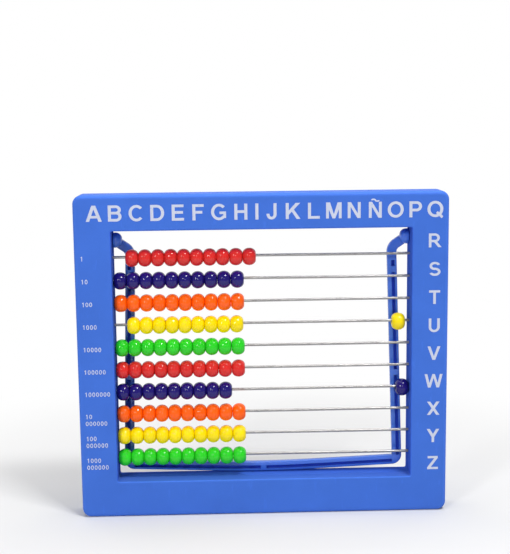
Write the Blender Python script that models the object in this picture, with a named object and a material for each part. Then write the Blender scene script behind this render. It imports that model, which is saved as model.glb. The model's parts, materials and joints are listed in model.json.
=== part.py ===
# Abacus: a two-part moulded frame, ten wires of sliding beads and a fold-out stand.
# Metres, +Z up. The front faces -Y, and the origin is under the middle of the base.

import math

import bmesh
import bpy
from mathutils import Vector

MM = 0.001

# Beads, with flat ends
BEAD_LENGTH = 6.45 * MM
BEAD_RADIUS = 4.45 * MM
BEAD_END_RADIUS = 2.1 * MM
BEAD_HOLE_RADIUS = 1.5 * MM
RUN_SIZES = (5, 3, 1, 1)  # beads that slide together, from the left

# Rows, numbered from the top, and where the beads of some of them have been slid
ROW_COUNT = 10
ROW_GAP = 2.6 * MM  # between the beads of neighbouring rows
SLIDE_ROOM = 84.0 * MM  # bare wire when all beads are pushed to one side
ROW_COLOURS = ("red", "indigo", "orange", "yellow", "green")
STAND_OFF_LEFT = {1: 6.2 * MM, 4: 6.2 * MM}  # row: its beads from the left wall
LAST_BEAD_OFF_RIGHT = {4: 2.2 * MM, 7: 0.0}  # row: its last bead, slid across, from the right wall

# Wires
WIRE_RADIUS = 0.7 * MM
WIRE_CLEARANCE = 0.2 * MM  # in the notches of the inner walls

# Frame
SIDE_RAIL = 18.5 * MM
TOP_RAIL = 18.0 * MM
BOTTOM_RAIL = 18.5 * MM
WALL = 2.0 * MM
CORNER_RADIUS = 4.5 * MM
WINDOW_RADIUS = 0.8 * MM
FRONT_EDGE_RADIUS = 2.0 * MM
BACK_EDGE_RADIUS = 1.2 * MM
WINDOW_EDGE_RADIUS = 0.8 * MM
FOOT_ROOM = 6.2 * MM  # under the lowest beads
RIB_THICKNESS = 1.2 * MM
RIB_DROP = 1.5 * MM  # from the parting plane down to the ribs
BOSS_RADIUS = 3.0 * MM
PEG_RADIUS = 1.5 * MM
PEG_LENGTH = 4.0 * MM  # past the parting plane

# Stand
STAND_THICKNESS = 3.2 * MM
STAND_CLEARANCE = 0.35 * MM  # between the beads and the stand behind them
BAR_WIDTH = 4.6 * MM
BAR_CHAMFER = 0.5 * MM
BAR_LIFT = 0.4 * MM  # above the window's lower edge, at the bar's middle
BAR_BOW = 2.8 * MM  # rise of the bar's straight ends
BAR_BEND = 25.0 * MM  # length of the bend on each side of the bar's middle
ARM_TOP_INSET = 8.4 * MM  # from the window's side to the arm's centre line
ARM_FOOT_INSET = 5.0 * MM
SHOULDER_RADIUS = 5.0 * MM
SHOULDER_DROP = 2.4 * MM  # from the pivot down to where the arm joins its ear
SHOULDER_FALL = 7.2 * MM  # from there down to the arm's bend
FOOT_RADIUS = 2.6 * MM
SLOT_WIDTH = 1.6 * MM
SLOT_OUTSET = 0.4 * MM  # from the bar's centre line towards the frame
SLOT_DEPTH = 2.2 * MM
SHORT_SLOT = 3.2 * MM
SLOT_LEAD = 1.0 * MM  # from an arm's shoulder to its first slot
SLOT_BRIDGE = 3.0 * MM  # left between two slots
EAR_RADIUS = 3.9 * MM
EAR_LENGTH = 4.4 * MM
EAR_ROUNDING = 3.2 * MM
EAR_CLEARANCE = 0.5 * MM  # above the highest beads
EAR_TOP_ROOM = 1.6 * MM
EAR_INSET = 0.4 * MM  # in front of the frame's back
PIVOT_RADIUS = 1.5 * MM
PIVOT_CLEARANCE = 0.25 * MM
PIVOT_OVERREACH = 0.6 * MM  # past the inner wall

# Gap left between pieces that touch, how far joined shapes sink into each other,
# and the shortest step kept along a path
TOUCH_GAP = 0.3 * MM
SINK = 0.6 * MM
LEAST_STEP = 0.05 * MM

# Smoothness
BEAD_SIDES = 10
BEAD_STEPS = 4
WIRE_SIDES = 8
PIN_SIDES = 10
CORNER_STEPS = 3
EDGE_STEPS = 3
SHARP_ANGLE = math.radians(35)

# Derived sizes
BEADS_PER_ROW = sum(RUN_SIZES)
HANG = BEAD_HOLE_RADIUS - WIRE_RADIUS - TOUCH_GAP
ROW_PITCH = 2 * BEAD_RADIUS + ROW_GAP
HALF_WINDOW = (BEADS_PER_ROW * BEAD_LENGTH + SLIDE_ROOM + (len(RUN_SIZES) + 1) * TOUCH_GAP) / 2
HALF_WIDTH = HALF_WINDOW + SIDE_RAIL
HALF_DEPTH = BEAD_RADIUS + STAND_CLEARANCE + STAND_THICKNESS
LOWEST_ROW_Z = BOTTOM_RAIL + FOOT_ROOM + BEAD_RADIUS + HANG
HIGHEST_ROW_Z = LOWEST_ROW_Z + (ROW_COUNT - 1) * ROW_PITCH
PIVOT_Z = HIGHEST_ROW_Z - HANG + BEAD_RADIUS + EAR_CLEARANCE + EAR_RADIUS
PIVOT_Y = HALF_DEPTH - EAR_INSET - EAR_RADIUS
WINDOW_TOP = PIVOT_Z + EAR_RADIUS + EAR_TOP_ROOM
HEIGHT = WINDOW_TOP + TOP_RAIL
RAIL_MIDDLE_X = HALF_WIDTH - SIDE_RAIL / 2
RAIL_FLOOR = HALF_DEPTH - WALL
PARTING = TOUCH_GAP / 2

COLOURS = {
    "frame_blue": (0.055, 0.165, 0.630),
    "red": (0.640, 0.032, 0.026),
    "indigo": (0.032, 0.017, 0.190),
    "orange": (1.000, 0.115, 0.003),
    "yellow": (0.910, 0.750, 0.000),
    "green": (0.037, 0.485, 0.024),
    "steel": (0.560, 0.550, 0.530),
}


def row_z(row):
    return HIGHEST_ROW_Z - (row - 1) * ROW_PITCH


def clear_scene():
    for obj in list(bpy.data.objects):
        bpy.data.objects.remove(obj, do_unlink=True)


def make_material(name, roughness, metallic):
    material = bpy.data.materials.new(name)
    material.use_nodes = True
    shader = material.node_tree.nodes["Principled BSDF"]
    shader.inputs["Base Color"].default_value = (*COLOURS[name], 1.0)
    shader.inputs["Roughness"].default_value = roughness
    shader.inputs["Metallic"].default_value = metallic
    return material


def make_object(name, mesh, location=(0, 0, 0), parent=None):
    obj = bpy.data.objects.new(name, mesh)
    bpy.context.scene.collection.objects.link(obj)
    obj.parent = parent
    obj.location = location
    return obj


def mesh_from(name, bm, material=None):
    bmesh.ops.recalc_face_normals(bm, faces=bm.faces)
    mesh = bpy.data.meshes.new(name)
    bm.to_mesh(mesh)
    bm.free()
    mesh.shade_smooth()
    mesh.set_sharp_from_angle(angle=SHARP_ANGLE)
    if material:
        mesh.materials.append(material)
    return mesh


def bridge(bm, loop_a, loop_b):
    """Quads between two loops of equally many vertices."""
    for i in range(len(loop_a)):
        j = (i + 1) % len(loop_a)
        bm.faces.new((loop_a[i], loop_a[j], loop_b[j], loop_b[i]))


def add_loft(bm, loops, ring=False):
    """Skins a row of loops. A ring closes on its first loop; otherwise both ends are capped."""
    made = [[bm.verts.new(point) for point in loop] for loop in loops]
    for loop_a, loop_b in zip(made, made[1:]):
        bridge(bm, loop_a, loop_b)
    if ring:
        bridge(bm, made[-1], made[0])
    else:
        bm.faces.new(made[0])
        bm.faces.new(made[-1])


def circle(axis, centre, along, radius, sides):
    """Points of a circle about a line through centre, a distance along the named axis."""
    x, y, z = centre
    points = []
    for i in range(sides):
        angle = 2 * math.pi * i / sides
        u = radius * math.cos(angle)
        v = radius * math.sin(angle)
        points.append((x + along, y + u, z + v) if axis == "X" else (x + u, y + along, z + v))
    return points


def add_turned(bm, axis, centre, profile, sides, ring=False):
    """A solid turned about a line along the named axis, from (distance along it, radius) pairs."""
    add_loft(bm, [circle(axis, centre, along, radius, sides) for along, radius in profile], ring)


def add_box(bm, low, high):
    corners = [(low[0], low[2]), (high[0], low[2]), (high[0], high[2]), (low[0], high[2])]
    add_loft(bm, [[(x, y, z) for x, z in corners] for y in (low[1], high[1])])


def boolean(obj, name, operation, bm):
    """Joins or cuts obj with the shapes in bm, kept as a hidden helper."""
    helper = make_object(name, mesh_from(name, bm), parent=obj.parent)
    helper.location = obj.location
    helper.hide_render = True
    helper.display_type = "WIRE"
    modifier = obj.modifiers.new(name, "BOOLEAN")
    modifier.operation = operation
    modifier.object = helper
    modifier.solver = "EXACT"


# Frame

def rounded_rectangle(half_width, bottom, top, radius, y):
    """A loop in the XZ plane with round corners, anticlockwise from the lower right."""
    centres = (
        (half_width - radius, bottom + radius, -90),
        (half_width - radius, top - radius, 0),
        (-half_width + radius, top - radius, 90),
        (-half_width + radius, bottom + radius, 180),
    )
    points = []
    for x, z, first in centres:
        for step in range(CORNER_STEPS + 1):
            angle = math.radians(first + 90 * step / CORNER_STEPS)
            points.append((x + radius * math.cos(angle), y, z + radius * math.sin(angle)))
    return points


def outline_loop(inset, y):
    """The frame's outline, drawn in by inset."""
    radius = max(CORNER_RADIUS - inset, WINDOW_RADIUS)
    return rounded_rectangle(HALF_WIDTH - inset, inset, HEIGHT - inset, radius, y)


def window_loop(grow, y):
    """The window's outline, opened out by grow."""
    return rounded_rectangle(
        HALF_WINDOW + grow, BOTTOM_RAIL - grow, WINDOW_TOP + grow, WINDOW_RADIUS + grow, y
    )


def edge_steps(radius):
    """How far in, and how far short of the face, each step of a rounded edge lies."""
    for step in range(EDGE_STEPS + 1):
        angle = math.pi / 2 * step / EDGE_STEPS
        yield radius * (1 - math.cos(angle)), radius * (1 - math.sin(angle))


def half_shell(side, edge_radius):
    """One moulding: a hollow rail round the window, open at the parting plane."""
    outer_edge = list(edge_steps(edge_radius))
    window_edge = reversed(list(edge_steps(WINDOW_EDGE_RADIUS)))
    loops = [outline_loop(0, side * PARTING)]
    loops += [outline_loop(inset, side * (HALF_DEPTH - short)) for inset, short in outer_edge]
    loops += [window_loop(inset, side * (HALF_DEPTH - short)) for inset, short in window_edge]
    loops += [window_loop(0, side * PARTING), window_loop(WALL, side * PARTING)]
    loops += [window_loop(WALL, side * RAIL_FLOOR), outline_loop(WALL, side * RAIL_FLOOR)]
    loops += [outline_loop(WALL, side * PARTING)]
    bm = bmesh.new()
    add_loft(bm, loops, ring=True)
    return bm


def boss_places():
    """Where the halves are pegged together: three along each level rail and one up each side rail."""
    level = [(x, z) for x in (-HALF_WINDOW, 0, HALF_WINDOW) for z in (BOTTOM_RAIL / 2, HEIGHT - TOP_RAIL / 2)]
    middle_z = (row_z(ROW_COUNT // 2) + row_z(ROW_COUNT // 2 + 1)) / 2
    return level + [(-RAIL_MIDDLE_X, middle_z), (RAIL_MIDDLE_X, middle_z)]


def rail_ribs(side):
    """Cross ribs on the floor of the hollow rails, short of the parting plane."""
    bm = bmesh.new()
    half = RIB_THICKNESS / 2
    near, far = sorted((side * (RAIL_FLOOR + SINK), side * (PARTING + RIB_DROP)))
    for x in (-HALF_WINDOW / 2, HALF_WINDOW / 2):
        for low, high in ((0, BOTTOM_RAIL), (WINDOW_TOP, HEIGHT)):
            add_box(bm, (x - half, near, low + WALL - SINK), (x + half, far, high - WALL + SINK))
    for row in range(2, ROW_COUNT, 2):
        if row == ROW_COUNT // 2:
            continue  # the middle bosses stand there
        z = row_z(row) - ROW_PITCH / 2
        for low, high in ((-HALF_WIDTH, -HALF_WINDOW), (HALF_WINDOW, HALF_WIDTH)):
            add_box(bm, (low + WALL - SINK, near, z - half), (high - WALL + SINK, far, z + half))
    return bm


def frame_bosses(side, pin_end, pin_radius):
    """Bosses up to the parting plane, each going on as a peg or back down as a socket to pin_end."""
    bm = bmesh.new()
    foot = side * (RAIL_FLOOR + SINK)
    top = side * PARTING
    profile = [(foot, BOSS_RADIUS), (top, BOSS_RADIUS), (top, pin_radius), (pin_end, pin_radius)]
    for x, z in boss_places():
        add_turned(bm, "Y", (x, 0, z), profile, PIN_SIDES)
    return bm


def add_wall_holes(bm, y, z, radius, sides):
    """Rods through both inner side walls at one height."""
    for sign in (-1, 1):
        span = (sign * (HALF_WINDOW - SINK), sign * (HALF_WINDOW + WALL + SINK))
        add_turned(bm, "X", (0, y, z), [(x, radius) for x in span], sides)


def wire_notches():
    bm = bmesh.new()
    for row in range(1, ROW_COUNT + 1):
        add_wall_holes(bm, 0, row_z(row), WIRE_RADIUS + WIRE_CLEARANCE, WIRE_SIDES)
    return bm


def make_front_frame(material, parent):
    """The half that is seen, with bored bosses."""
    mesh = mesh_from("front_frame", half_shell(-1, FRONT_EDGE_RADIUS), material)
    frame = make_object("front_frame", mesh, parent=parent)
    boolean(frame, "front_ribs", "UNION", rail_ribs(-1))
    sockets = frame_bosses(-1, -PARTING - PEG_LENGTH - TOUCH_GAP, PEG_RADIUS + TOUCH_GAP)
    boolean(frame, "front_sockets", "UNION", sockets)
    boolean(frame, "front_notches", "DIFFERENCE", wire_notches())


def make_rear_frame(material, parent):
    """The half behind the wires, with pegs on its bosses and holes for the stand's pins."""
    mesh = mesh_from("rear_frame", half_shell(1, BACK_EDGE_RADIUS), material)
    frame = make_object("rear_frame", mesh, parent=parent)
    boolean(frame, "rear_ribs", "UNION", rail_ribs(1))
    boolean(frame, "rear_pegs", "UNION", frame_bosses(1, -PARTING - PEG_LENGTH, PEG_RADIUS))
    cuts = wire_notches()
    add_wall_holes(cuts, PIVOT_Y, PIVOT_Z, PIVOT_RADIUS + PIVOT_CLEARANCE, PIN_SIDES)
    boolean(frame, "rear_cuts", "DIFFERENCE", cuts)


# Wires and beads

def make_wire(row, material, parent):
    half = HALF_WIDTH - WALL - TOUCH_GAP
    bm = bmesh.new()
    add_turned(bm, "X", (0, 0, 0), [(-half, WIRE_RADIUS), (half, WIRE_RADIUS)], WIRE_SIDES)
    name = f"row_{row:02d}_wire"
    make_object(name, mesh_from(name, bm, material), (0, 0, row_z(row)), parent)


def bead_profile():
    """(x, radius) along one bead, from its left flat end to its right one."""
    for step in range(BEAD_STEPS + 1):
        angle = math.pi * step / BEAD_STEPS
        radius = BEAD_END_RADIUS + (BEAD_RADIUS - BEAD_END_RADIUS) * math.sin(angle)
        yield BEAD_LENGTH * (1 - math.cos(angle)) / 2, radius


def bead_run_mesh(name, count, material):
    """Beads standing end to end, bored for the wire. The wire is the x axis, and the beads hang on it."""
    outside = []
    for bead in range(count):
        points = [(bead * BEAD_LENGTH + x, radius) for x, radius in bead_profile()]
        outside += points if bead == 0 else points[1:]
    length = count * BEAD_LENGTH
    profile = outside + [(length, BEAD_HOLE_RADIUS), (0, BEAD_HOLE_RADIUS)]
    bm = bmesh.new()
    add_turned(bm, "X", (0, 0, -HANG), profile, BEAD_SIDES, ring=True)
    return mesh_from(name, bm, material)


def run_name(row, first, count):
    if count == 1:
        return f"row_{row:02d}_bead_{first}"
    return f"row_{row:02d}_beads_{first}_to_{first + count - 1}"


def make_bead_row(row, material, parent):
    """Runs of beads from left to right, each carried along by the one on its left."""
    x = -HALF_WINDOW + TOUCH_GAP + STAND_OFF_LEFT.get(row, 0)
    parked_x = HALF_WINDOW - TOUCH_GAP - LAST_BEAD_OFF_RIGHT.get(row, 0) - BEAD_LENGTH
    first = 1
    carrier, carrier_x = None, 0
    for count in RUN_SIZES:
        name = run_name(row, first, count)
        mesh = bead_run_mesh(name, count, material)
        is_parked = row in LAST_BEAD_OFF_RIGHT and first + count > BEADS_PER_ROW
        if is_parked:
            make_object(name, mesh, (parked_x, 0, row_z(row)), parent)
        elif carrier:
            carrier = make_object(name, mesh, (x - carrier_x, 0, 0), carrier)
        else:
            carrier = make_object(name, mesh, (x, 0, row_z(row)), parent)
        carrier_x = x
        x += count * BEAD_LENGTH + TOUCH_GAP
        first += count


# Stand

def rounded_path(corners, radii, steps):
    """Points along a line through the corners with round bends, and the distance at each bend's ends.
    A bend is limited by the straight runs beside it."""
    points = [Vector(corners[0])]
    bends = []
    for before, corner, after, radius in zip(corners, corners[1:], corners[2:], radii):
        corner = Vector(corner)
        back = (Vector(before) - corner).normalized()
        ahead = (Vector(after) - corner).normalized()
        half_angle = back.angle(ahead) / 2
        room = min((Vector(before) - corner).length, (Vector(after) - corner).length) - SINK
        radius = min(radius, room * math.tan(half_angle))
        centre = corner + (back + ahead).normalized() * radius / math.sin(half_angle)
        start = (corner + back * radius / math.tan(half_angle) - centre).normalized()
        end = (corner + ahead * radius / math.tan(half_angle) - centre).normalized()
        bends.append((len(points), len(points) + steps))
        points += [centre + start.slerp(end, step / steps) * radius for step in range(steps + 1)]
    points.append(Vector(corners[-1]))
    reached = [0.0]
    for a, b in zip(points, points[1:]):
        reached.append(reached[-1] + (b - a).length)
    return points, reached, [(reached[first], reached[last]) for first, last in bends]


def stretch(points, reached, start, end):
    """The part of a path between two distances along it."""
    def at(distance):
        for a, b, from_a, from_b in zip(points, points[1:], reached, reached[1:]):
            if distance <= from_b:
                return a.lerp(b, (distance - from_a) / (from_b - from_a))
        return points[-1]
    inside = [p for p, along in zip(points, reached) if start + LEAST_STEP < along < end - LEAST_STEP]
    return [at(start)] + inside + [at(end)]


def sweep_loops(path, section):
    """The section's (across, depth) points carried along a path in the XZ plane."""
    loops = []
    for i, point in enumerate(path):
        ahead = path[min(i + 1, len(path) - 1)] - path[max(i - 1, 0)]
        across = Vector((-ahead.y, ahead.x)).normalized()
        places = [(point + across * offset, depth) for offset, depth in section]
        loops.append([(place.x, depth, place.y) for place, depth in places])
    return loops


def bar_section():
    """The bar's chamfered rectangle, measured from the pivot's depth."""
    half = BAR_WIDTH / 2
    back = HALF_DEPTH - PIVOT_Y
    front = back - STAND_THICKNESS
    cut = BAR_CHAMFER
    return [
        (-half + cut, front), (half - cut, front), (half, front + cut), (half, back - cut),
        (half - cut, back), (-half + cut, back), (-half, back - cut), (-half, front + cut),
    ]


def slot_section():
    inner = SLOT_OUTSET - SLOT_WIDTH / 2
    outer = SLOT_OUTSET + SLOT_WIDTH / 2
    front = HALF_DEPTH - PIVOT_Y - STAND_THICKNESS
    floor = front + SLOT_DEPTH
    return [(inner, front - SINK), (outer, front - SINK), (outer, floor), (inner, floor)]


def stand_path():
    """The bail's centre line, from the right ear round to the left one, measured from the pivot."""
    ear_x = HALF_WINDOW - TOUCH_GAP - EAR_LENGTH / 2
    top_x = HALF_WINDOW - ARM_TOP_INSET
    foot_x = HALF_WINDOW - ARM_FOOT_INSET
    ear_z = -SHOULDER_DROP
    top_z = ear_z - SHOULDER_FALL
    slope = BAR_BOW / foot_x
    bow_radius = BAR_BEND / slope
    middle_z = BOTTOM_RAIL + BAR_LIFT + BAR_WIDTH / 2 - BAR_BEND * slope / 2 - PIVOT_Z
    right = [(ear_x, ear_z), (top_x, top_z), (foot_x, middle_z + BAR_BOW)]
    left = [(-x, z) for x, z in reversed(right)]
    radii = (SHOULDER_RADIUS, FOOT_RADIUS, bow_radius, FOOT_RADIUS, SHOULDER_RADIUS)
    return rounded_path(right + [(0, middle_z)] + left, radii, CORNER_STEPS)


def slot_spans(reached, bends):
    """Where the front groove is open, as distances along the path, on both sides of the middle."""
    arm_start = bends[0][1]
    arm_end, bar_start = bends[1]
    middle = reached[-1] / 2
    arm_middle = (arm_start + arm_end) / 2
    short_start = arm_start + SLOT_LEAD
    short_end = short_start + SHORT_SLOT
    spans = [
        (short_start, short_end),
        (short_end + SLOT_BRIDGE, arm_middle - SLOT_BRIDGE / 2),
        (arm_middle + SLOT_BRIDGE / 2, arm_end),
        (bar_start, middle - SLOT_BRIDGE / 2),
    ]
    return spans + [(reached[-1] - end, reached[-1] - start) for start, end in spans]


def ear_profile():
    """(x, radius) of the right ear and its pivot pin, from its domed inner end to the pin's tip."""
    outer = HALF_WINDOW - TOUCH_GAP
    inner = outer - EAR_LENGTH
    tip = HALF_WINDOW + WALL + PIVOT_OVERREACH
    rounding = [
        (inner + short, EAR_RADIUS - inset) for inset, short in reversed(list(edge_steps(EAR_ROUNDING)))
    ]
    return rounding + [(outer, EAR_RADIUS), (outer, PIVOT_RADIUS), (tip, PIVOT_RADIUS)]


def make_stand(material, parent):
    points, reached, bends = stand_path()
    bar = bmesh.new()
    add_loft(bar, sweep_loops(points, bar_section()))
    stand = make_object("stand", mesh_from("stand", bar, material), (0, PIVOT_Y, PIVOT_Z), parent)
    ears = bmesh.new()
    for sign in (-1, 1):
        profile = [(sign * x, radius) for x, radius in ear_profile()]
        add_turned(ears, "X", (0, 0, 0), profile, PIN_SIDES)
    boolean(stand, "stand_ears", "UNION", ears)
    slots = bmesh.new()
    for start, end in slot_spans(reached, bends):
        add_loft(slots, sweep_loops(stretch(points, reached, start, end), slot_section()))
    boolean(stand, "stand_slots", "DIFFERENCE", slots)


def main():
    clear_scene()
    blue = make_material("frame_blue", 0.32, 0.0)
    steel = make_material("steel", 0.28, 1.0)
    beads = {name: make_material(name, 0.18, 0.0) for name in ROW_COLOURS}
    abacus = make_object("abacus", None)
    make_front_frame(blue, abacus)
    make_rear_frame(blue, abacus)
    make_stand(blue, abacus)
    for row in range(1, ROW_COUNT + 1):
        make_wire(row, steel, abacus)
        make_bead_row(row, beads[ROW_COLOURS[(row - 1) % len(ROW_COLOURS)]], abacus)


main()
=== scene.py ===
# Abacus: finished surfaces for the frame, wires, beads, stand and print. Metres, the front faces -Y.
import json
import math
import random

import bmesh
import bpy
from mathutils import Matrix, Vector
from mathutils.geometry import delaunay_2d_cdt


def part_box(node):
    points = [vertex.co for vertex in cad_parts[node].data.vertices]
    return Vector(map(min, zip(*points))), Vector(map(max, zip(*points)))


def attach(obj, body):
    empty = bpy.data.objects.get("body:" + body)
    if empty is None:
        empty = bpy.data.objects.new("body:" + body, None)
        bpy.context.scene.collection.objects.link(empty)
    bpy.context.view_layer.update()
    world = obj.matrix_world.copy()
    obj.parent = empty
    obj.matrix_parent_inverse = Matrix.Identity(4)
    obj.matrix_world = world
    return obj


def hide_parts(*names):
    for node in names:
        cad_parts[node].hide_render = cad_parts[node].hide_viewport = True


mm = 0.001
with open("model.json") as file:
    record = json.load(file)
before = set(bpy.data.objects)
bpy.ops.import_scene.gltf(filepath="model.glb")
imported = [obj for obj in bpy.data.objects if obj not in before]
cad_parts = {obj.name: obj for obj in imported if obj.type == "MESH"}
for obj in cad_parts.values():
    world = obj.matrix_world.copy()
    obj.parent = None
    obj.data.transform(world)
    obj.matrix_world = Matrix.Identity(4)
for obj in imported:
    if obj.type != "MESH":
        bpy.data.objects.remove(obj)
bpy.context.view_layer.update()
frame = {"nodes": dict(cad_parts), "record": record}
frameLow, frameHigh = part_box("front_frame")
bodies = frame["record"]["behaviour"]["bodies"]
bodyOf = {node: body for body, nodes in bodies.items() for node in nodes}
rowCount = sum(name.endswith("_wire") for name in frame["nodes"])


# Shader maths

class Value:
    # a socket that takes part in sums; each sum adds a Math node
    def __init__(self, tree, socket):
        self.tree = tree
        self.socket = socket

    def join(self, operation, first, second):
        node = self.tree.nodes.new("ShaderNodeMath")
        node.operation = operation
        for socket, given in zip(node.inputs, (first, second)):
            plug(self.tree, socket, given)
        return Value(self.tree, node.outputs[0])

    def __add__(self, other):
        return self.join("ADD", self, other)

    def __radd__(self, other):
        return self.join("ADD", other, self)

    def __sub__(self, other):
        return self.join("SUBTRACT", self, other)

    def __rsub__(self, other):
        return self.join("SUBTRACT", other, self)

    def __mul__(self, other):
        return self.join("MULTIPLY", self, other)

    def __rmul__(self, other):
        return self.join("MULTIPLY", other, self)


def plug(tree, socket, given):
    if isinstance(given, Value):
        tree.links.new(given.socket, socket)
    else:
        socket.default_value = given


class Finish:
    # a material, its Principled shader and the nodes that feed it
    def __init__(self, name, **constants):
        self.material = bpy.data.materials.new(name)
        self.material.use_nodes = True
        self.tree = self.material.node_tree
        self.shader = self.tree.nodes["Principled BSDF"]
        for socket, given in constants.items():
            self.shader.inputs[socket.replace("_", " ")].default_value = given

    def node(self, kind, settings=None, sockets=None, out=0):
        made = self.tree.nodes.new("ShaderNode" + kind)
        for name, given in (settings or {}).items():
            setattr(made, name, given)
        for name, given in (sockets or {}).items():
            plug(self.tree, made.inputs[name], given)
        return Value(self.tree, made.outputs[out])

    def band(self, value, low, high):
        # 0 below low, 1 above high, smooth between
        sockets = {"Value": value, "From Min": low, "From Max": high}
        return self.node("MapRange", {"interpolation_type": "SMOOTHSTEP"}, sockets)

    def blend(self, factor, first, second):
        sockets = {0: factor, 6: first, 7: second}
        return self.node("Mix", {"data_type": "RGBA"}, sockets, 2)

    def stretched(self, scale):
        # the piece's own coordinates, with one scale for each axis
        place = self.node("TexCoord", out="Object")
        return self.node("VectorMath", {"operation": "MULTIPLY"}, {0: place, 1: scale})

    def noise(self, scale, detail=2.0, roughness=0.5):
        sockets = {"Vector": self.stretched(scale), "Scale": 1.0, "Detail": detail, "Roughness": roughness}
        return self.node("TexNoise", None, sockets)

    def attribute(self, name):
        return self.node("Attribute", {"attribute_name": name}, None, "Fac")

    def bump(self, height, distance, strength=1.0):
        sockets = {"Height": height, "Distance": distance, "Strength": strength}
        return self.node("Bump", None, sockets)

    def feed(self, **sockets):
        for name, given in sockets.items():
            plug(self.tree, self.shader.inputs[name.replace("_", " ")], given)
        return self.material


def shade(colour, level):
    return tuple(channel * level for channel in colour) + (1.0,)


# Finishes

# the deeper blue below is painted shade for the window's walls and the stand's grooves
blueLook = {
    "colour": (0.051, 0.154, 0.620), "paintedShadeBlue": (0.020, 0.060, 0.600),
    "dark": 0.84, "light": 1.16, "pale": 1.45,
    "clouds": (55.0, 55.0, 55.0), "grain": (2600.0, 2600.0, 2600.0), "scuffs": (420.0, 420.0, 95.0),
    "scuffBand": (0.60, 0.74), "roughGrain": 0.10, "roughScuff": 0.07, "roughWearAndSheen": 0.05,
    "roughPaintedShade": 1.15, "grainDepth": 0.03 * mm, "grainStrength": 0.9,
}

def mouldedBlue(name, tone, polish, shine):
    # satin moulded plastic: fine spark grain, slow flow clouds, faint scuffs; edges lighter, partly rubbed
    # wear and partly painted highlight; painted shade on the window's walls and in the stand's grooves
    look = blueLook
    made = Finish(name, IOR=1.40, Specular_IOR_Level=shine)
    cloud = made.noise(look["clouds"], 3.0)
    grain = made.noise(look["grain"], 2.0)
    scuff = made.band(made.noise(look["scuffs"], 4.0, 0.62), *look["scuffBand"])
    wear_and_sheen = made.attribute("wear_and_sheen")
    painted_shade = made.attribute("painted_shade")
    dark, light, pale = (shade(look["colour"], look[level] * tone) for level in ("dark", "light", "pale"))
    colour = made.blend(cloud * 0.6 + grain * 0.4, dark, light)
    # edges lighter: partly rubbed wear, partly painted highlight
    colour = made.blend(wear_and_sheen * 0.55 + scuff * 0.18, colour, pale)
    # painted shade: the window's walls and the grooves' floors go to a darker blue
    colour = made.blend(painted_shade, colour, shade(look["paintedShadeBlue"], tone))
    rough = polish + (grain - 0.5) * look["roughGrain"] + scuff * look["roughScuff"]
    rough = rough + wear_and_sheen * look["roughWearAndSheen"] + painted_shade * look["roughPaintedShade"]
    normal = made.bump(grain * 0.7 + scuff * 0.3, look["grainDepth"], look["grainStrength"])
    return made.feed(Base_Color=colour, Roughness=rough, Normal=normal)


beadLooks = {
    "red": (0.700, 0.024, 0.020),
    "indigo": (0.012, 0.006, 0.152),
    "orange": (1.000, 0.118, 0.001),
    "yellow": (0.950, 0.740, 0.000),
    "green": (0.024, 0.630, 0.020),
}

beadGloss = {
    "flow": (190.0, 420.0, 420.0), "pits": (1500.0, 1500.0, 1500.0), "ringBand": (0.0002, 0.0022),
    "wornBand": (0.78, 0.99), "dark": 0.90, "light": 1.06, "rough": 0.08, "roughFlow": 0.05,
    "roughWorn": 0.2, "depth": 0.02 * mm, "strength": 0.35,
}

def glossyBead(name, colour):
    # polished moulding: each bead a little lighter or darker, a faint ring where the mould met
    look = beadGloss
    made = Finish(name, IOR=1.36, Specular_IOR_Level=0.65)
    tone = made.attribute("tone")
    along = made.attribute("along")
    flow = made.noise(look["flow"], 3.0)
    pits = made.noise(look["pits"], 2.0)
    ring = 1.0 - made.band(along * along, *look["ringBand"])
    worn = made.band(along * along, *look["wornBand"])  # ends that knock together
    colour = made.blend(flow * 0.5 + tone * 0.5, shade(colour, look["dark"]), shade(colour, look["light"]))
    rough = look["rough"] + flow * look["roughFlow"] + worn * look["roughWorn"]
    normal = made.bump(ring * 0.5 + pits * 0.08 + flow * 0.4, look["depth"], look["strength"])
    return made.feed(Base_Color=colour, Roughness=rough, Normal=normal)


steelLook = {
    "bright": (0.40, 0.39, 0.38), "dull": (0.24, 0.235, 0.23), "streaks": (90.0, 5200.0, 5200.0),
    "patches": (260.0, 700.0, 700.0), "dullBand": (0.50, 0.72), "rough": 0.34, "roughDull": 0.14,
    "roughStreak": 0.12, "depth": 0.03 * mm, "strength": 0.5,
}

def drawnSteel():
    # wire pulled through a die: streaks along it, dull patches, small nicks
    look = steelLook
    made = Finish("drawnSteel", Metallic=1.0)
    streak = made.noise(look["streaks"], 3.0)
    patch = made.noise(look["patches"], 3.0, 0.6)
    dull = made.band(patch, *look["dullBand"])
    bright, dim = (shade(look[name], 1.0) for name in ("bright", "dull"))
    colour = made.blend(dull * 0.5 + streak * 0.3, bright, dim)
    rough = look["rough"] + dull * look["roughDull"] + (streak - 0.5) * look["roughStreak"]
    normal = made.bump(streak * 0.4 + patch * 0.6, look["depth"], look["strength"])
    return made.feed(Base_Color=colour, Roughness=rough, Normal=normal)


inkLook = {
    "colour": (0.58, 0.61, 0.72), "under": (0.28, 0.38, 0.74), "lean": (900.0, 900.0, 900.0),
    "clouds": (160.0, 160.0, 160.0), "pinholeBand": (0.61, 0.72), "rough": 0.42, "roughLean": 0.2,
    "depth": 0.01 * mm, "strength": 0.6,
}

def screenInk():
    # thin off-white print: the blue shows through pinholes and where the ink is lean
    look = inkLook
    made = Finish("screenInk", IOR=1.48)
    lean = made.noise(look["lean"], 3.0, 0.6)
    cloud = made.noise(look["clouds"], 2.0)
    pinhole = made.band(lean, *look["pinholeBand"])
    full, under = (shade(look[name], 1.0) for name in ("colour", "under"))
    colour = made.blend(pinhole * 0.6 + cloud * 0.16, full, under)
    rough = look["rough"] + (lean - 0.5) * look["roughLean"]
    normal = made.bump(lean, look["depth"], look["strength"])
    return made.feed(Base_Color=colour, Roughness=rough, Normal=normal)


# Mesh helpers

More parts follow.
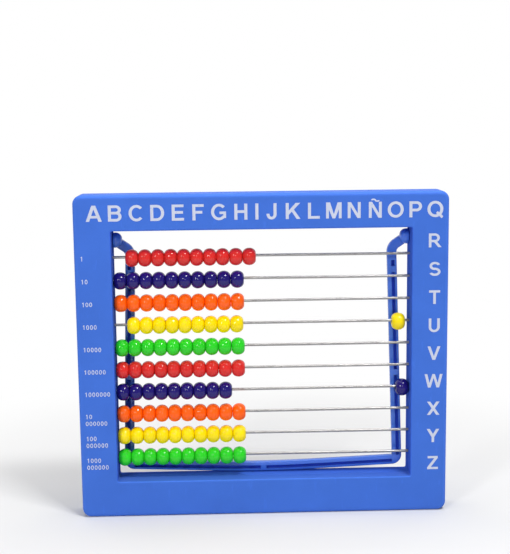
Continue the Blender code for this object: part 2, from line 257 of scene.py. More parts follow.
def skin(bm, loops, ring=False):
    # faces between loops of equally many points; a ring closes on itself, otherwise the ends are capped
    made = [[bm.verts.new(point) for point in loop] for loop in loops]
    pairs = list(zip(made, made[1:])) + ([(made[-1], made[0])] if ring else [])
    for first, second in pairs:
        for i in range(len(first)):
            j = (i + 1) % len(first)
            bm.faces.new((first[i], first[j], second[j], second[i]))
    if not ring:
        bm.faces.new(made[0])
        bm.faces.new(made[-1])
    return made


def turned(bm, centre, profile, sides, ring=False):
    # a shape turned about the X axis through centre, from (x, radius) pairs
    loops = []
    for x, radius in profile:
        angles = [2 * math.pi * i / sides for i in range(sides)]
        loops.append([centre + Vector((x, radius * math.cos(a), radius * math.sin(a))) for a in angles])
    return skin(bm, loops, ring)


def newObject(name, bm, finish=None):
    bmesh.ops.recalc_face_normals(bm, faces=bm.faces)
    mesh = bpy.data.meshes.new(name)
    bm.to_mesh(mesh)
    bm.free()
    if finish:
        mesh.materials.append(finish)
    made = bpy.data.objects.new(name, mesh)
    bpy.context.scene.collection.objects.link(made)
    return made


def carve(piece, operation, bm):
    # joins or cuts the shapes in bm, and keeps the result as the piece's own mesh
    tool = newObject("tool", bm)
    cut = piece.modifiers.new("cut", "BOOLEAN")
    cut.operation = operation
    cut.solver = "EXACT"
    cut.object = tool
    bpy.context.view_layer.update()
    result = bpy.data.meshes.new_from_object(piece.evaluated_get(bpy.context.evaluated_depsgraph_get()))
    piece.modifiers.clear()
    piece.data = result
    result.name = piece.name
    bpy.data.objects.remove(tool)


def smooth(piece, sharpest=32):
    piece.data.shade_smooth()
    piece.data.set_sharp_from_angle(angle=math.radians(sharpest))


def settle(piece, body, slot, *nodes):
    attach(piece, body)
    if nodes:
        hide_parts(*nodes)


def addFloats(piece, name, values):
    layer = piece.data.attributes.new(name, "FLOAT", "POINT")
    layer.data.foreach_set("value", values)


def quarterTurn(radius, steps):
    # how far in, and how far short of the face, each step of a rounded edge lies
    angles = [math.pi / 2 * step / steps for step in range(steps + 1)]
    return [(radius * (1 - math.cos(a)), radius * (1 - math.sin(a))) for a in angles]


# Frame halves

frameShape = {
    "windowSide": 75.0 * mm, "windowBottom": 18.5 * mm, "windowTop": 147.0 * mm, "windowCorner": 0.8 * mm,
    "corner": 4.5 * mm, "cornerSteps": 10, "wall": 2.0 * mm, "depth": 8.0 * mm,
    "frontRound": 2.0 * mm, "backRound": 1.2 * mm, "frontSill": 0.8 * mm, "backSill": 0.35 * mm,
    "roundSteps": 6, "brink": 0.12 * mm, "paintedShadeShare": 0.35,
    "parting": 0.15 * mm, "partingRound": 0.25 * mm, "partingSteps": 3,
    "seamDepth": 0.5 * mm, "touch": 0.005 * mm,
    "notch": 0.9 * mm, "pinHole": 1.75 * mm, "holeLead": 1.0 * mm, "holePast": 0.6 * mm, "holeSides": 24,
}
pivot = Vector((0, 3.7 * mm, 141.5 * mm))

def roundedLoop(halfWidth, bottom, top, radius, y):
    steps = frameShape["cornerSteps"]
    right, left = halfWidth - radius, -halfWidth + radius
    low, high = bottom + radius, top - radius
    points = []
    for x, z, first in ((right, low, -90), (right, high, 0), (left, high, 90), (left, low, 180)):
        for step in range(steps + 1):
            angle = math.radians(first + 90 * step / steps)
            points.append((x + radius * math.cos(angle), y, z + radius * math.sin(angle)))
    return points


def outerLoop(inset, y):
    radius = max(frameShape["corner"] - inset, frameShape["windowCorner"])
    return roundedLoop(frameHigh.x - inset, frameLow.z + inset, frameHigh.z - inset, radius, y)


def windowLoop(grow, y):
    shape = frameShape
    bottom, top = shape["windowBottom"] - grow, shape["windowTop"] + grow
    return roundedLoop(shape["windowSide"] + grow, bottom, top, shape["windowCorner"] + grow, y)


def frameLoops(side, edgeRound, sillRound):
    # loops all round the half: outside, face, window wall, inside; y counts from the parting plane
    shape = frameShape
    depth, parting, wall, brink = (shape[size] for size in ("depth", "parting", "wall", "brink"))
    seam, touch = shape["seamDepth"], shape["touch"]
    lip = quarterTurn(shape["partingRound"], shape["partingSteps"])
    edge = quarterTurn(edgeRound, shape["roundSteps"])
    sill = quarterTurn(sillRound, shape["roundSteps"])
    outer = [(inset, parting + short) for inset, short in reversed(lip)]
    outer += [(0, depth - edgeRound - brink)]  # a brink beside each round keeps the flat's shading flat
    outer += [(inset, depth - short) for inset, short in edge]
    outer += [(edgeRound + brink, depth)]
    window = [(sillRound + brink, depth)]
    window += [(inset, depth - short) for inset, short in reversed(sill)]
    window += [(0, depth - sillRound - brink)]
    window += [(inset, parting + short) for inset, short in lip]
    # a tongue shuts the seam, and the rest is the wall's inner side
    inside = [(seam, parting), (seam, touch), (wall, touch), (wall, depth - wall)]
    loops = [outerLoop(inset, side * y) for inset, y in outer]
    loops += [windowLoop(inset, side * y) for inset, y in window + inside]
    return loops + [outerLoop(inset, side * y) for inset, y in reversed(inside)]


def frameHalf(name, node, side, edgeRound, sillRound, finish):
    bm = bmesh.new()
    skin(bm, frameLoops(side, edgeRound, sillRound), ring=True)
    half = newObject(name, bm, finish)
    carve(half, "DIFFERENCE", wallHoles(side))
    smooth(half)
    addFloats(half, "wear_and_sheen", [edgeWearAndSheen(v.co) for v in half.data.vertices])
    addFloats(half, "painted_shade", [windowPaintedShade(v.co) for v in half.data.vertices])
    settle(half, bodyOf[node], "frame_blue", node)


def wallHoles(side):
    # notches for the wires, and in the rear half the holes for the stand's pins
    shape = frameShape
    holes = []
    for row in range(1, rowCount + 1):
        low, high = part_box(f"row_{row:02d}_wire")
        holes.append(((low + high) / 2, shape["notch"]))
    if side > 0:
        holes.append((pivot, shape["pinHole"]))
    reaches = -shape["holeLead"], shape["wall"] + shape["holePast"]
    bm = bmesh.new()
    for centre, radius in holes:
        for sign in (-1, 1):
            profile = [(sign * (shape["windowSide"] + reach), radius) for reach in reaches]
            turned(bm, Vector((0, centre.y, centre.z)), profile, shape["holeSides"])
    return bm


def pastWindow(point):
    # how far into the rails a point lies from the window's walls and rounded corners
    shape = frameShape
    corner = shape["windowCorner"]
    bottom, top = shape["windowBottom"] + corner, shape["windowTop"] - corner
    across = abs(point.x) - shape["windowSide"] + corner
    up = max(bottom - point.z, point.z - top)
    return math.hypot(max(across, 0), max(up, 0)) + min(max(across, up), 0) - corner


def edgeWearAndSheen(point):
    # 1 on the rounded edges, 0 on the faces; it lightens the edges, partly as rubbed wear and partly as
    # painted highlight where light catches them
    shape = frameShape
    fromSide = min(frameHigh.x - abs(point.x), point.z - frameLow.z, frameHigh.z - point.z)
    fromFace = shape["depth"] - abs(point.y)
    outer = 1 - max(fromSide, fromFace) / shape["frontRound"]
    inner = 1 - max(pastWindow(point), fromFace) / shape["frontSill"]
    return max(0.0, outer, inner)


def windowPaintedShade(point):
    # painted shade on the window's walls: how much darker and duller the blue is there, growing to the
    # back along its sill
    shape = frameShape
    wall = min(1.0, max(0.0, 1 - pastWindow(point) / shape["frontSill"]))
    onSill = point.z < shape["windowBottom"] + shape["windowCorner"]
    backward = 0.5 + point.y / shape["depth"] / 2  # 0 at the front face, 1 at the back
    return shape["paintedShadeShare"] * wall * (backward if onSill else 1.0)


def makeFrame():
    shape = frameShape
    front = mouldedBlue("frontBlue", tone=1.0, polish=0.50, shine=0.16)
    # the rear half's blue is a tenth darker: painted shade for the deeper half of the window's walls
    rear = mouldedBlue("rearBlue", tone=0.9, polish=0.54, shine=0.16)
    frameHalf("frameFront", "front_frame", -1, shape["frontRound"], shape["frontSill"], front)
    frameHalf("frameRear", "rear_frame", 1, shape["backRound"], shape["backSill"], rear)
    print("frame halves made")


# Wires

wireShape = {
    "radius": 0.7 * mm, "sides": 20, "rings": 64,
    "bow": 0.09 * mm, "phases": (0, 6.28), "waves": (1.2, 2.6),
}

def wireLoops(low, high, pick):
    # a straight wire that wavers a little, most in its middle
    shape = wireShape
    phase = pick.uniform(*shape["phases"])
    waves = pick.uniform(*shape["waves"])
    angles = [2 * math.pi * i / shape["sides"] for i in range(shape["sides"])]
    loops = []
    for ring in range(shape["rings"] + 1):
        share = ring / shape["rings"]
        rise = shape["bow"] * math.sin(math.pi * share) * math.sin(phase + waves * math.pi * share)
        centre = Vector((low.x + (high.x - low.x) * share, 0, (low.z + high.z) / 2 + rise))
        loops.append([centre + Vector((0, math.cos(a), math.sin(a))) * shape["radius"] for a in angles])
    return loops


def makeWires():
    finish = drawnSteel()
    for row in range(1, rowCount + 1):
        node = f"row_{row:02d}_wire"
        low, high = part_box(node)
        bm = bmesh.new()
        skin(bm, wireLoops(low, high, random.Random(node)))
        wire = newObject(f"wireRow{row}", bm, finish)
        smooth(wire)
        settle(wire, bodyOf[node], "steel", node)
    print("wires made:", rowCount)


# Beads

beadShape = {
    "length": 6.45 * mm, "radius": 4.45 * mm, "flatEnd": 1.85 * mm, "hole": 1.5 * mm, "lip": 0.3 * mm,
    "reach": 0.13 * mm, "air": 0.005 * mm, "hang": 0.5 * mm, "sides": 40, "steps": 20, "tilt": 0.7,
    "sharpest": 38,
}

def beadProfile(half):
    # (x from the bead's middle, radius, share along it) from the left mouth of the hole to the right one
    shape = beadShape
    mouth = [(-half + shape["lip"], shape["hole"], -1), (-half, shape["hole"] + shape["lip"], -1)]
    outside = []
    for step in range(shape["steps"] + 1):
        angle = math.pi * step / shape["steps"]
        share = -math.cos(angle)
        radius = shape["flatEnd"] + (shape["radius"] - shape["flatEnd"]) * math.sin(angle)
        outside.append((half * share, radius, share))
    return mouth + outside + [(-x, radius, -share) for x, radius, share in reversed(mouth)]


def addBead(bm, profile, middle, pick):
    # one bead, leaning a little on its wire and turned by chance
    shape = beadShape
    outline = [(x, radius) for x, radius, share in profile]
    made = turned(bm, Vector((0, 0, 0)), outline, shape["sides"], ring=True)
    verts = [vert for loop in made for vert in loop]
    lean = [math.radians(pick.uniform(-shape["tilt"], shape["tilt"])) for axis in "YZ"]
    turn = Matrix.Rotation(lean[0], 4, "Y") @ Matrix.Rotation(lean[1], 4, "Z")
    spin = Matrix.Rotation(pick.uniform(0, 2 * math.pi), 4, "X")
    bmesh.ops.transform(bm, matrix=Matrix.Translation(middle) @ turn @ spin, verts=verts)
    return len(verts)


def makeBeadRun(node, finish, slot):
    shape = beadShape
    low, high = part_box(node)
    wireLow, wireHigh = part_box(node[:7] + "wire")
    count = round((high.x - low.x) / shape["length"])
    pitch = (high.x - low.x + 2 * shape["reach"]) / count  # past the node's ends, so that runs look joined
    first = low.x - shape["reach"] + pitch / 2
    wireZ = (wireLow.z + wireHigh.z) / 2
    pick = random.Random(node)
    profile = beadProfile(pitch / 2 - shape["air"])
    bm = bmesh.new()
    tones, alongs = [], []
    for bead in range(count):
        middle = Vector((first + bead * pitch, 0, wireZ - shape["hang"]))
        size = addBead(bm, profile, middle, pick)
        tones += [pick.random()] * size
        alongs += [share for x, radius, share in profile for side in range(shape["sides"])]
    run = newObject(node.replace("row_", "row").replace("_", "-"), bm, finish)
    smooth(run, shape["sharpest"])
    addFloats(run, "tone", tones)
    addFloats(run, "along", alongs)
    settle(run, bodyOf[node], slot, node)


def makeBeads():
    finishes = {name: glossyBead(name + "Bead", colour) for name, colour in beadLooks.items()}
    runs = sorted(name for name in frame["nodes"] if "_bead" in name)
    for node in runs:
        colour = list(beadLooks)[(int(node[4:6]) - 1) % len(beadLooks)]
        makeBeadRun(node, finishes[colour], colour)
    print("bead runs made:", len(runs))


# Stand

standShape = {
    "width": 4.9 * mm, "thickness": 3.2 * mm, "rounding": 0.55 * mm, "roundSteps": 4,
    "earReach": 72.5 * mm, "armTop": 66.6 * mm, "armFoot": 70.0 * mm,
    "shoulderDrop": 1.6 * mm, "shoulderFall": 4.0 * mm, "shoulder": 5.0 * mm, "foot": 2.6 * mm,
    "barMiddle": 20.7 * mm, "bow": 2.8 * mm, "bowBend": 25.0 * mm, "bendSteps": 12,
    "slotWidth": 1.8 * mm, "slotOutset": 0.4 * mm, "slotDepth": 2.5 * mm, "slotClear": 0.6 * mm,
    "slotLead": 4.1 * mm, "shortSlot": 3.2 * mm, "bridge": 3.0 * mm, "bridgeDrop": 7.3 * mm,
    "slotPaintedShade": 0.75, "floorFit": 0.05 * mm, "pathFit": 0.02 * mm,
    "earOuter": 74.7 * mm, "earLength": 4.4 * mm, "earRadius": 3.9 * mm, "earSides": 36,
    "earRounding": 3.2 * mm, "domeSteps": 8, "rimRound": 0.3 * mm, "rimSteps": 3,
    "pin": 1.5 * mm, "pinTip": 77.6 * mm,
}

def roundedCorner(before, corner, after, radius):
    # the points of the bend that takes the place of a corner
    steps = standShape["bendSteps"]
    back, ahead = (before - corner).normalized(), (after - corner).normalized()
    half = back.angle(ahead) / 2
    centre = corner + (back + ahead).normalized() * radius / math.sin(half)
    start = (corner + back * radius / math.tan(half) - centre).normalized()
    end = (corner + ahead * radius / math.tan(half) - centre).normalized()
    return [centre + start.slerp(end, step / steps) * radius for step in range(steps + 1)]


def standPath():
    # the bail's centre line from the right ear to the left one, and the distance at each bend's ends
    shape = standShape
    ear = pivot.z - shape["shoulderDrop"]
    top = ear - shape["shoulderFall"]
    middle = shape["barMiddle"]
    right = [(shape["earReach"], ear), (shape["armTop"], top), (shape["armFoot"], middle + shape["bow"])]
    corners = [Vector(c) for c in right + [(0, middle)] + [(-x, z) for x, z in reversed(right)]]
    bow = shape["bowBend"] * shape["armFoot"] / shape["bow"]
    radii = (shape["shoulder"], shape["foot"], bow, shape["foot"], shape["shoulder"])
    points, ends = [corners[0]], []
    for before, corner, after, radius in zip(corners, corners[1:], corners[2:], radii):
        ends.append((len(points), len(points) + shape["bendSteps"]))
        points += roundedCorner(before, corner, after, radius)
    points.append(corners[-1])
    reached = [0.0]
    for first, second in zip(points, points[1:]):
        reached.append(reached[-1] + (second - first).length)
    return points, reached, [(reached[first], reached[last]) for first, last in ends]


def stretchOf(points, reached, start, end):
    # the part of the path between two distances along it
    def at(distance):
        for a, b, fromA, fromB in zip(points, points[1:], reached, reached[1:]):
            if distance <= fromB:
                return a.lerp(b, (distance - fromA) / (fromB - fromA))
        return points[-1]
    close = standShape["pathFit"]
    inside = [p for p, along in zip(points, reached) if start + close < along < end - close]
    return [at(start)] + inside + [at(end)]


def swept(bm, path, section):
    # the section's (across, depth) points carried along the path
    loops = []
    for i, point in enumerate(path):
        ahead = path[min(i + 1, len(path) - 1)] - path[max(i - 1, 0)]
        across = Vector((-ahead.y, ahead.x)).normalized()
        loops.append([(point.x + across.x * o, depth, point.y + across.y * o) for o, depth in section])
    skin(bm, loops)


def barSection():
    shape = standShape
    half, back = shape["width"] / 2, frameShape["depth"]
    front, bend, steps = back - shape["thickness"], shape["rounding"], shape["roundSteps"]
    points = []
    corners = ((half, front, -90), (half, back, 0), (-half, back, 90), (-half, front, 180))
    for across, depth, first in corners:
        centre = math.copysign(half - bend, across), depth + (bend if depth == front else -bend)
        for step in range(steps + 1):
            angle = math.radians(first + 90 * step / steps)
            points.append((centre[0] + bend * math.cos(angle), centre[1] + bend * math.sin(angle)))
    return points


def slotSection():
    shape = standShape
    front = frameShape["depth"] - shape["thickness"]
    inner, outer = (shape["slotOutset"] + sign * shape["slotWidth"] / 2 for sign in (-1, 1))
    floor, clear = front + shape["slotDepth"], front - shape["slotClear"]
    return [(inner, clear), (outer, clear), (outer, floor), (inner, floor)]


def slotSpans(reached, bends):
    # where the grooves of the right arm and half bar start and end, then the same on the left
    shape = standShape
    armStart, (armEnd, barStart) = bends[0][1], bends[1]
    shortStart = armStart + shape["slotLead"]
    shortEnd = shortStart + shape["shortSlot"]
    armMiddle = (shortStart + armEnd) / 2 + shape["bridgeDrop"]
    middle = reached[-1] / 2
    spans = [
        (shortStart, shortEnd),
        (shortEnd + shape["bridge"], armMiddle - shape["bridge"] / 2),
        (armMiddle + shape["bridge"] / 2, armEnd),
        (barStart, middle - shape["bridge"] / 2),
    ]
    return spans + [(reached[-1] - end, reached[-1] - start) for start, end in spans]


def slotPaintedShade(point):
    # painted shade on the floors of the grooves, where the blue is darker and duller
    shape = standShape
    floor = frameShape["depth"] - shape["thickness"] + shape["slotDepth"]
    below = pivot.z - point.z > shape["shoulderDrop"] + shape["shoulderFall"]
    onFloor = abs(point.y - floor) < shape["floorFit"]
    return shape["slotPaintedShade"] if below and onFloor else 0.0


def earProfile():
    # (x, radius) from the domed inner end of the right ear to the tip of its pin
    shape = standShape
    outer, radius = shape["earOuter"], shape["earRadius"]
    inner = outer - shape["earLength"]
    dome = quarterTurn(shape["earRounding"], shape["domeSteps"])
    rim = quarterTurn(shape["rimRound"], shape["rimSteps"])
    profile = [(inner + short, radius - inset) for inset, short in reversed(dome)]
    profile += [(outer - short, radius - inset) for inset, short in rim]
    return profile + [(outer, shape["pin"]), (shape["pinTip"], shape["pin"])]


def makeStand():
    points, reached, bends = standPath()
    bar = bmesh.new()
    swept(bar, points, barSection())
    # the stand's blue is a tenth lighter than the frame's: painted light, as the stand sits in the frame's
    # shade
    stand = newObject("stand-bail", bar, mouldedBlue("standBlue", tone=1.10, polish=0.15, shine=0.6))
    ears = bmesh.new()
    for sign in (-1, 1):
        turned(ears, pivot, [(sign * x, radius) for x, radius in earProfile()], standShape["earSides"])
    carve(stand, "UNION", ears)
    slots = bmesh.new()
    for start, end in slotSpans(reached, bends):
        swept(slots, stretchOf(points, reached, start, end), slotSection())
    carve(stand, "DIFFERENCE", slots)
    smooth(stand)
    addFloats(stand, "painted_shade", [slotPaintedShade(v.co) for v in stand.data.vertices])
    settle(stand, bodyOf["stand"], "frame_blue", "stand")
    print("stand made:", len(stand.data.polygons), "faces")


# Printed letters and row numbers, drawn as strokes on a cap height of 1

stem, beam = 0.19, 0.165

def bar(x0, y0, x1, y1):
    return [(x0, y0), (x1, y0), (x1, y1), (x0, y1)]


def poly(*points):
    return list(points)


def arc(x, y, acrossRadius, upRadius, first, last, across=stem, up=beam, steps=22):
    # a bent stroke about (x, y); its weight goes from across at the sides to up at the top
    inner, outer = [], []
    for step in range(steps + 1):
        angle = math.radians(first + (last - first) * step / steps)
        c, s = math.cos(angle), math.sin(angle)
        inner.append((x + (acrossRadius - across / 2) * c, y + (upRadius - up / 2) * s))
        outer.append((x + (acrossRadius + across / 2) * c, y + (upRadius + up / 2) * s))
    return [[inner[i], outer[i], outer[i + 1], inner[i + 1]] for i in range(steps)]


capTop = 1 - beam
letterN = [bar(0, 0, 0.18, 1), bar(0.63, 0, 0.81, 1), poly((0, 1), (0.20, 1), (0.81, 0), (0.61, 0))]
letterO = arc(0.50, 0.50, 0.405, 0.4275, 0, 360, steps=48)
letterP = [bar(0, 0, stem, 1), bar(0, capTop, 0.45, 1), bar(0, 0.37, 0.45, 0.535)]
letterP += arc(0.45, 0.685, 0.245, 0.2325, -90, 90)
tilde = arc(0.295, 1.10, 0.11, 0.055, 0, 180, 0.09, 0.09, 12)
tilde += arc(0.515, 1.10, 0.11, 0.055, 180, 360, 0.09, 0.09, 12)

glyphs = {  # letter: (width, strokes)
    "A": (1.00, [poly((0, 0), (0.21, 0), (0.59, 1), (0.38, 1)),
                 poly((1, 0), (0.79, 0), (0.41, 1), (0.62, 1)),
                 bar(0.22, 0.21, 0.78, 0.365)]),
    "B": (0.84, [bar(0, 0, stem, 1), bar(0, capTop, 0.5, 1),
                 bar(0, 0.44, 0.52, 0.605), bar(0, 0, 0.52, beam)]
          + arc(0.50, 0.72, 0.215, 0.1975, -90, 90) + arc(0.52, 0.3025, 0.225, 0.22, -90, 90)),
    "C": (0.88, arc(0.48, 0.50, 0.385, 0.4275, 42, 318, steps=40)),
    "D": (0.86, [bar(0, 0, stem, 1), bar(0, capTop, 0.40, 1), bar(0, 0, 0.40, beam)]
          + arc(0.40, 0.50, 0.365, 0.4175, -90, 90, steps=30)),
    "E": (0.76, [bar(0, 0, stem, 1), bar(0, capTop, 0.74, 1),
                 bar(0, 0.43, 0.70, 0.595), bar(0, 0, 0.76, beam)]),
    "F": (0.71, [bar(0, 0, stem, 1), bar(0, capTop, 0.71, 1), bar(0, 0.42, 0.62, 0.585)]),
    "G": (0.94, arc(0.49, 0.50, 0.395, 0.4275, 42, 322, steps=40)
          + [bar(0.52, 0.37, 0.93, 0.53), bar(0.76, 0.12, 0.93, 0.50)]),
    "H": (0.81, [bar(0, 0, stem, 1), bar(0.62, 0, 0.81, 1), bar(0, 0.425, 0.81, 0.59)]),
    "I": (stem, [bar(0, 0, stem, 1)]),
    "J": (0.63, [bar(0.44, 0.30, 0.63, 1), bar(0, 0.29, stem, 0.35)]
          + arc(0.315, 0.315, 0.22, 0.2425, 180, 360)),
    "K": (0.92, [bar(0, 0, stem, 1), poly((0.10, 0.43), (0.62, 1), (0.90, 1), (0.10, 0.165)),
                 poly((0.34, 0.52), (0.46, 0.66), (0.92, 0), (0.68, 0))]),
    "L": (0.74, [bar(0, 0, stem, 1), bar(0, 0, 0.74, beam)]),
    "M": (0.97, [bar(0, 0, 0.175, 1), bar(0.795, 0, 0.97, 1),
                 poly((0, 1), (0.25, 1), (0.57, 0), (0.40, 0)),
                 poly((0.97, 1), (0.72, 1), (0.40, 0), (0.57, 0))]),
    "N": (0.81, letterN),
    "Ñ": (0.81, letterN + tilde),
    "O": (1.00, letterO),
    "P": (0.79, letterP),
    "Q": (1.00, letterO + [poly((0.54, 0.25), (0.65, 0.37), (1.01, 0.04), (0.90, -0.08))]),
    "R": (0.92, letterP + [poly((0.34, 0.42), (0.58, 0.42), (0.92, 0), (0.69, 0))]),
    "S": (0.82, arc(0.41, 0.7125, 0.295, 0.215, 22, 270, steps=30)
          + arc(0.41, 0.2875, 0.315, 0.215, -158, 90, steps=30)),
    "T": (0.80, [bar(0, capTop, 0.80, 1), bar(0.305, 0, 0.495, 1)]),
    "U": (0.81, [bar(0, 0.36, stem, 1), bar(0.62, 0.36, 0.81, 1)]
          + arc(0.405, 0.38, 0.31, 0.3075, 180, 360, steps=30)),
    "V": (0.94, [poly((0, 1), (0.21, 1), (0.57, 0), (0.37, 0)),
                 poly((0.94, 1), (0.73, 1), (0.37, 0), (0.57, 0))]),
    "W": (1.32, [poly((0, 1), (0.20, 1), (0.44, 0), (0.25, 0)),
                 poly((0.57, 1), (0.75, 1), (0.44, 0), (0.25, 0)),
                 poly((0.57, 1), (0.75, 1), (1.07, 0), (0.88, 0)),
                 poly((1.12, 1), (1.32, 1), (1.07, 0), (0.88, 0))]),
    "X": (0.93, [poly((0, 1), (0.24, 1), (0.93, 0), (0.69, 0)),
                 poly((0.69, 1), (0.93, 1), (0.24, 0), (0, 0))]),
    "Y": (0.93, [poly((0, 1), (0.23, 1), (0.56, 0.46), (0.37, 0.38)), bar(0.37, 0, 0.56, 0.48),
                 poly((0.93, 1), (0.70, 1), (0.37, 0.46), (0.56, 0.38))]),
    "Z": (0.80, [bar(0.03, capTop, 0.78, 1), bar(0, 0, 0.80, beam),
                 poly((0, 0.145), (0.25, 0.145), (0.78, 0.855), (0.54, 0.855))]),
    "0": (0.62, arc(0.31, 0.50, 0.235, 0.425, 0, 360, 0.15, 0.15, 28)),
    "1": (0.62, [bar(0.28, 0, 0.43, 1),
                 poly((0.11, 0.66), (0.11, 0.81), (0.31, 1), (0.43, 1), (0.33, 0.84))]),
}

printShape = {
    "ink": 0.05 * mm, "sunk": 0.03 * mm, "joinWithin": 1e-5,
    "topLine": 155.98 * mm, "topHeight": 7.95 * mm,
    "groups": (  # letters, the first one's middle, and the pitch
        ("ABCDEFGH", -82.94 * mm, 10.37 * mm),
        ("IJ", -2.42 * mm, 7.23 * mm),
        ("KLMNÑOPQ", 15.51 * mm, 10.11 * mm),
    ),
    "nudge": {
        "D": 0.2 * mm, "F": -0.4 * mm, "G": -0.6 * mm, "L": 0.2 * mm,
        "Ñ": 0.4 * mm, "O": 0.45 * mm, "P": 0.3 * mm,
    },
    "column": "RSTUVWXYZ", "columnX": 86.4 * mm, "columnTop": 140.3 * mm, "columnPitch": 14.35 * mm,
    "columnHeight": 6.95 * mm,
    "numberLeft": -90.3 * mm, "numberHeight": 2.3 * mm, "numberRise": 0.4 * mm, "digitGap": 0.20,
    "lineDrop": 3.6 * mm, "longestLine": 7, "lowerDigits": 6,
}

def addGlyph(bm, letter, left, base, height):
    # joins a letter's strokes into one flat outline, then raises it off the face as a film of ink
    corners, faces = [], []
    for stroke in glyphs[letter][1]:
        around = sum(a[0] * b[1] - b[0] * a[1] for a, b in zip(stroke, stroke[1:] + stroke[:1]))
        stroke = stroke if around > 0 else stroke[::-1]
        faces.append(list(range(len(corners), len(corners) + len(stroke))))
        corners += [Vector(point) for point in stroke]
    filled = delaunay_2d_cdt(corners, [], faces, 1, printShape["joinWithin"])
    points, edges, triangles, fromPoints, fromEdges, fromStrokes = filled
    inked = [triangle for triangle, strokes in zip(triangles, fromStrokes) if strokes]
    face = -frameShape["depth"]
    back = face + printShape["sunk"]
    made = [bm.verts.new((left + p.x * height, back, base + p.y * height)) for p in points]
    patch = [bm.faces.new([made[i] for i in triangle]) for triangle in inked]
    raised = bmesh.ops.extrude_face_region(bm, geom=patch)["geom"]
    verts = [item for item in raised if isinstance(item, bmesh.types.BMVert)]
    bmesh.ops.translate(bm, verts=verts, vec=(0, face - printShape["ink"] - back, 0))


def finishPrint(name, bm, finish):
    made = newObject(name, bm, finish)
    made.data.shade_flat()
    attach(made, "frame")


def makeAlphabet(finish):
    shape = printShape
    places = []
    for letters, first, pitch in shape["groups"]:
        for i, letter in enumerate(letters):
            x = first + i * pitch + shape["nudge"].get(letter, 0)
            places.append((letter, x, shape["topLine"], shape["topHeight"]))
    for i, letter in enumerate(shape["column"]):
        z = shape["columnTop"] - i * shape["columnPitch"]
        places.append((letter, shape["columnX"], z, shape["columnHeight"]))
    bm = bmesh.new()
    for letter, x, z, height in places:
        addGlyph(bm, letter, x - glyphs[letter][0] * height / 2, z - height / 2, height)
    finishPrint("alphabetPrint", bm, finish)


def makeRowNumbers(finish):
    # 1, 10, 100 and so on down the rows; from ten million the last six noughts go on a second line
    shape = printShape
    height, lower = shape["numberHeight"], shape["lowerDigits"]
    bm = bmesh.new()
    for row in range(1, rowCount + 1):
        low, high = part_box(f"row_{row:02d}_wire")
        top = (low.z + high.z) / 2 + shape["numberRise"] - height / 2
        digits = "1" + "0" * (row - 1)
        lines = [digits] if len(digits) <= shape["longestLine"] else [digits[:-lower], digits[-lower:]]
        for step, line in enumerate(lines):
            x = shape["numberLeft"]
            for digit in line:
                addGlyph(bm, digit, x, top - step * shape["lineDrop"], height)
                x += (glyphs[digit][0] + shape["digitGap"]) * height
    finishPrint("rowNumberPrint", bm, finish)


def makePrint():
    ink = screenInk()
    makeAlphabet(ink)
    makeRowNumbers(ink)
    print("letters and row numbers made")


# Floor, light and camera

roomLook = {"dimTo": -0.3, "paleFrom": 0.3}  # along Y, from the dim room in front to the pale one behind

def seenRays(made, coordinates):
    # 1 for rays from the camera; for gloss and clear things 1 behind the object, 0 in front of it
    names = ("Is Camera Ray", "Is Glossy Ray", "Is Transmission Ray")
    camera, gloss, through = (made.node("LightPath", out=name) for name in names)
    place = made.node("TexCoord", out=coordinates)
    depth = made.node("SeparateXYZ", None, {0: place}, "Y")
    behind = made.band(depth, roomLook["dimTo"], roomLook["paleFrom"])
    return camera + (1 - (1 - gloss) * (1 - through)) * behind


floorLook = {
    "radius": 6.0, "segments": 64, "colour": (0.74, 0.74, 0.74, 1), "rough": 0.9,
    "fadeFrom": 0.10, "fadeTo": 0.30,
}

def makeFloor():
    look = floorLook
    bm = bmesh.new()
    bmesh.ops.create_circle(bm, cap_ends=True, segments=look["segments"], radius=look["radius"])
    made = Finish("paleFloor", Base_Color=look["colour"], Roughness=look["rough"], Specular_IOR_Level=0.0)
    reach = made.node("VectorMath", {"operation": "LENGTH"}, {0: made.node("TexCoord", out="Object")}, 1)
    far = made.band(reach, look["fadeFrom"], look["fadeTo"])
    white = made.node("Emission", None, {"Color": (1, 1, 1, 1), "Strength": 1.0})
    floor = Value(made.tree, made.shader.outputs[0])
    both = made.node("MixShader", None, {0: far * seenRays(made, "Object"), 1: floor, 2: white})
    plug(made.tree, made.tree.nodes["Material Output"].inputs["Surface"], both)
    newObject("floor", bm, made.material)


worldLook = {"colour": (1.0, 1.0, 1.0, 1), "fill": 0.30}

class WorldFinish(Finish):
    def __init__(self, world):
        self.tree = world.node_tree


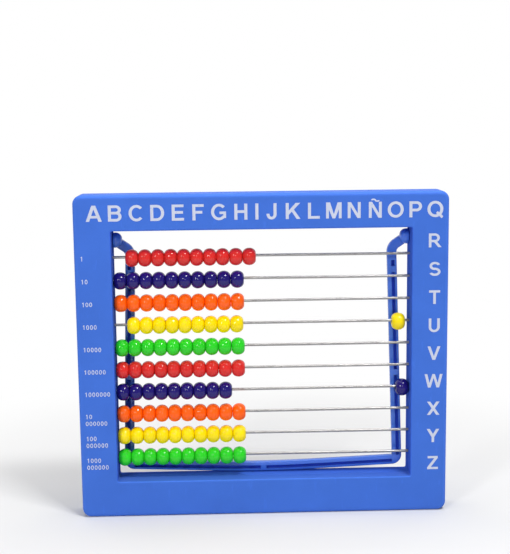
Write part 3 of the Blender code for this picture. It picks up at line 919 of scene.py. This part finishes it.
def makeWorld():
    world = bpy.data.worlds.new("paleRoom")
    world.use_nodes = True
    bpy.context.scene.world = world
    made = WorldFinish(world)
    strength = worldLook["fill"] + (1 - worldLook["fill"]) * seenRays(made, "Generated")
    sky = world.node_tree.nodes["Background"]
    sky.inputs["Color"].default_value = worldLook["colour"]
    plug(made.tree, sky.inputs["Strength"], strength)


lampAim = Vector((0, 0, 0.08))  # about the middle of the frame
lamps = {  # name: where it stands, its size and watts
    "keyRight": {"place": (0.32, -0.42, 1.02), "size": (0.26, 0.16), "watts": 6.4},
    "fillLeft": {"place": (-0.57, -0.90, 0.60), "size": (0.18, 0.18), "watts": 3.6},
    "front": {"place": (0.03, -1.05, 0.50), "size": (0.10, 0.10), "watts": 0.9},
    "overhead": {"place": (0.0, 0.10, 1.10), "size": (0.9, 0.6), "watts": 6.0},
}

def makeLamps():
    for name, lamp in lamps.items():
        light = bpy.data.lights.new(name, "AREA")
        light.shape = "RECTANGLE"
        light.size, light.size_y = lamp["size"]
        light.energy = lamp["watts"]
        made = bpy.data.objects.new(name, light)
        made.location = lamp["place"]
        made.rotation_euler = (lampAim - made.location).to_track_quat("-Z", "Y").to_euler()
        bpy.context.scene.collection.objects.link(made)


cameraView = {
    "place": Vector((-18.6, -550.7, 202.2)) * mm,
    "ahead": Vector((0.0271, 0.9892, -0.1439)),
    "up": Vector((0.0157, 0.1435, 0.9895)),
    "focal": 1100, "imageWidth": 510, "sensor": 36.0, "near": 0.01,
}

def makeCamera():
    view = cameraView
    lens = bpy.data.cameras.new("camera")
    lens.sensor_fit = "HORIZONTAL"
    lens.sensor_width = view["sensor"]
    lens.lens = view["focal"] / view["imageWidth"] * view["sensor"]
    lens.clip_start = view["near"]
    made = bpy.data.objects.new("camera", lens)
    back = -view["ahead"].normalized()
    right = view["up"].cross(back).normalized()
    up = back.cross(right)
    turn = Matrix((right, up, back)).transposed().to_4x4()
    made.matrix_world = Matrix.Translation(view["place"]) @ turn
    bpy.context.scene.collection.objects.link(made)
    bpy.context.scene.camera = made


makeFrame()
makeWires()
makeBeads()
makeStand()
makePrint()
makeFloor()
makeWorld()
makeLamps()
makeCamera()
bpy.context.scene.view_settings.view_transform = "Standard"

print("scene ready")
